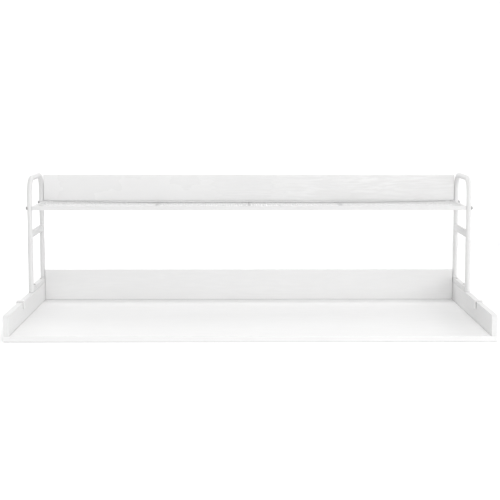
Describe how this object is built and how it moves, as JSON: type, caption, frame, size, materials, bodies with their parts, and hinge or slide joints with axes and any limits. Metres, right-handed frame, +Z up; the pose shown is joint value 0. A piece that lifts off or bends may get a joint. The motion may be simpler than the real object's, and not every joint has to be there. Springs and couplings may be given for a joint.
{
  "type": "desktop worktop riser with raised shelf",
  "caption": "Wide white board with side and back guards, and a raised mesh shelf on bent tube frames above its rear part.",
  "frame": {"origin": "middle of the outline on the base board's underside", "axes": "+X along the width to the right, +Y from the open front edge to the back guard, +Z up"},
  "size_m": [1.4096, 0.7, 0.4435],
  "materials": {
    "laminate": "white melamine on particle board, satin",
    "guard_laminate": "white melamine on particle board, satin, a shade greyer than the board",
    "grain_laminate": "white melamine with an embossed horizontal wood grain, satin",
    "powder_coat": "white powder coat on steel, satin",
    "mesh_coat": "white powder coat on expanded steel mesh",
    "zinc_steel": "zinc plated",
    "dark_steel": "dark nickel plated",
    "plug_plastic": "light grey plastic",
    "clip_plastic": "white spring plastic",
    "beech": "fluted beech dowel, plain"
  },
  "bodies": {
    "root": {"base_board": "laminate", "left_side_guard": "guard_laminate", "right_side_guard": "guard_laminate", "back_guard": "laminate", "upper_panel": "grain_laminate", "left_frame_tube": "powder_coat", "right_frame_tube": "powder_coat", "left_crossbar": "powder_coat", "right_crossbar": "powder_coat", "left_foot_rail": "powder_coat", "right_foot_rail": "powder_coat", "left_panel_tab": "powder_coat", "right_panel_tab": "powder_coat", "shelf_front_rail": "powder_coat", "shelf_rear_rail": "powder_coat", "shelf_left_rail": "powder_coat", "shelf_right_rail": "powder_coat", "shelf_support_left": "powder_coat", "shelf_support_middle": "powder_coat", "shelf_support_right": "powder_coat", "shelf_mesh": "mesh_coat", "shelf_inserts": "zinc_steel", "shelf_bolts": "dark_steel", "foot_rail_screws": "zinc_steel", "panel_tab_screws": "zinc_steel", "side_guard_screws": "zinc_steel", "back_guard_screws": "zinc_steel", "tube_end_plugs": "plug_plastic", "left_edge_clip": "clip_plastic", "right_edge_clip": "clip_plastic", "guard_dowels": "beech"}
  },
  "joints": []
}
